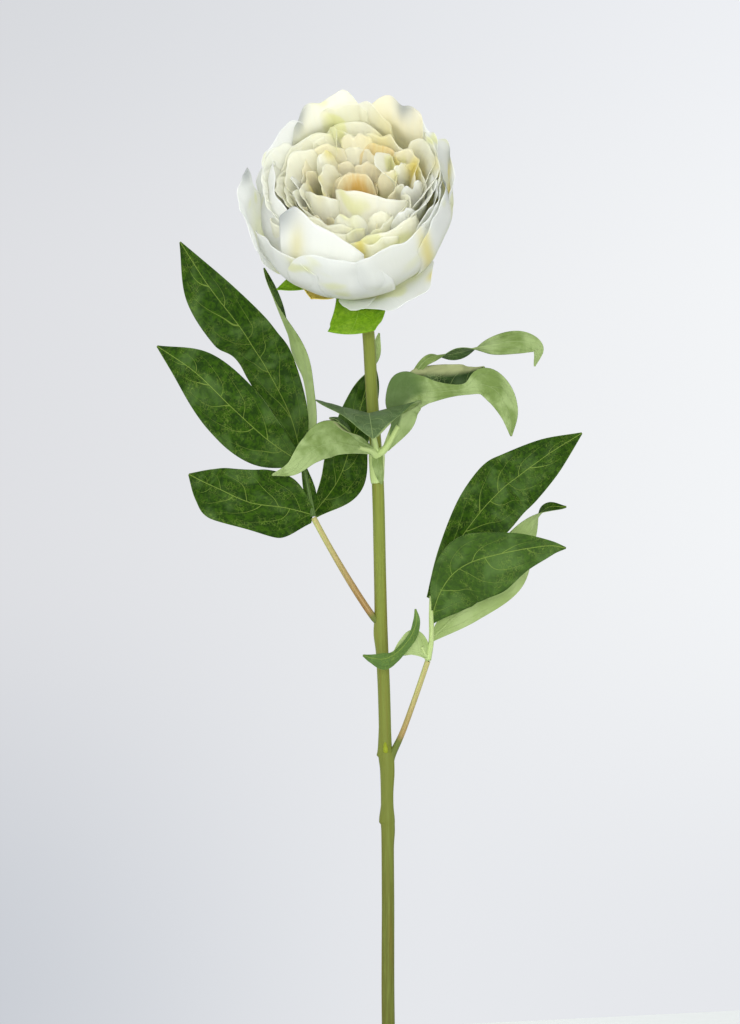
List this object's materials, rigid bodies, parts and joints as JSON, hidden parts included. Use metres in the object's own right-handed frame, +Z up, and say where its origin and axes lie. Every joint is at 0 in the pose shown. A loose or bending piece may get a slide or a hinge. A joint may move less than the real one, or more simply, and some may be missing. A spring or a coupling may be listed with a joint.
{
  "type": "peony in a bud vase",
  "caption": "Double white peony bloom on a long upright stem with divided leaves, standing in a slim-necked pale bud vase that holds some water.",
  "frame": {"origin": "middle of the underside of the vase's foot", "axes": "+Z up along the vase's axis, the bloom faces -Y and a little up, +X to its right as a viewer in front sees it"},
  "size_m": [0.2423, 0.1122, 0.7369],
  "materials": {
    "glaze": "satin pale glaze",
    "water": "clear, smooth",
    "stem": "matt green stem with faint ribs",
    "petiole": "matt pinkish tan",
    "leaf": "dark green upper face with pale veins, paler underside",
    "young_leaf": "pale green, matt, with fine veins",
    "sepal": "bright green, matt",
    "petal": "soft white to cream, gold in the heart"
  },
  "bodies": {
    "root": {"vase": "glaze", "water": "water", "stem": "stem", "petiole_left": "petiole", "leaf_left": "leaf", "petiole_right": "petiole", "leaf_right": "leaf", "leaf_upper": "young_leaf", "calyx": "sepal", "petals": "petal"}
  },
  "joints": []
}
